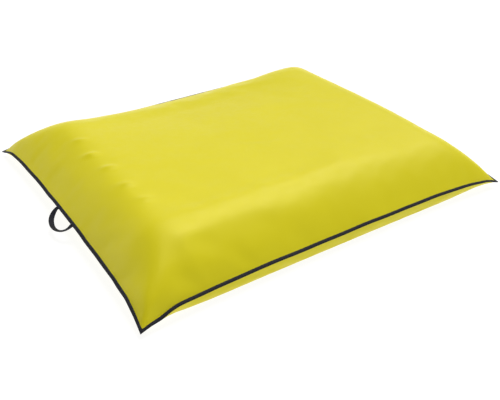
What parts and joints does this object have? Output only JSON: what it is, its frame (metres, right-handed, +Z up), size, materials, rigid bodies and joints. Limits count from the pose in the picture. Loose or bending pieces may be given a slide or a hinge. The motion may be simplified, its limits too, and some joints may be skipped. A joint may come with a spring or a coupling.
{
  "type": "floor bean bag",
  "caption": "Large flat floor bean bag: pillow of two fabric panels with bound seam, pointed tips, side carry loop and bead fill.",
  "frame": {"origin": "centre of the flat underside, midway between the four tips", "axes": "+X along the long side, with the carry loop on the -X side; +Y along the short side, with the cover's zip on the +Y side; +Z up"},
  "size_m": [1.632, 1.376, 0.2027],
  "materials": {
    "cover_fabric": "coated plain-weave polyester, soft sheen",
    "binding": "folded grosgrain tape",
    "webbing": "woven webbing",
    "thread": "sewing thread",
    "label": "blank woven label",
    "zip_tape": "woven zip tape",
    "zip_coil": "nylon coil",
    "zip_metal": "black lacquer",
    "liner_fabric": "thin non-woven",
    "liner_zip": "woven zip tape",
    "liner_zip_coil": "nylon coil",
    "beads": "expanded foam beads"
  },
  "bodies": {
    "bag": {"cover_top_panel": "cover_fabric", "cover_bottom_panel": "cover_fabric", "binding_front": "binding", "binding_right": "binding", "binding_back": "binding", "binding_left": "binding", "carry_loop_anchors": "webbing", "carry_loop_bar_tacks": "thread", "care_label": "label", "cover_zip_tape_upper": "zip_tape", "cover_zip_tape_lower": "zip_tape", "cover_zip_coil_upper": "zip_coil", "cover_zip_coil_lower": "zip_coil", "cover_zip_stops": "zip_metal", "liner_top_panel": "liner_fabric", "liner_bottom_panel": "liner_fabric", "liner_zip_tape_upper": "liner_zip", "liner_zip_tape_lower": "liner_zip", "liner_zip_coil_upper": "liner_zip_coil", "liner_zip_coil_lower": "liner_zip_coil", "liner_zip_stops": "liner_zip_coil", "bead_fill": "beads"},
    "carry_loop": {"carry_loop": "webbing"},
    "cover_zip_slider": {"cover_zip_slider": "zip_metal"},
    "cover_zip_pull": {"cover_zip_pull": "zip_metal"},
    "liner_zip_slider": {"liner_zip_slider": "zip_metal"}
  },
  "joints": [
    {"name": "carry_loop_swing", "type": "hinge", "parent": "bag", "child": "carry_loop", "pos_m": [-0.7786, -0.01506, 0.05847], "axis": [0, 1, 0], "range_deg": [-40, 100], "stiffness_Nm_per_rad": 0.004},
    {"name": "cover_zip_slide", "type": "slide", "parent": "bag", "child": "cover_zip_slider", "axis": [1, 0, 0], "range_m": [0, 0.672]},
    {"name": "cover_zip_pull_turn", "type": "hinge", "parent": "cover_zip_slider", "child": "cover_zip_pull", "pos_m": [-0.336, 0.65382, 0.03286], "axis": [0, 0.087, 0.9962], "range_deg": [0, 160]},
    {"name": "liner_zip_slide", "type": "slide", "parent": "bag", "child": "liner_zip_slider", "axis": [0, -1, 0], "range_m": [0, 0.382]}
  ]
}
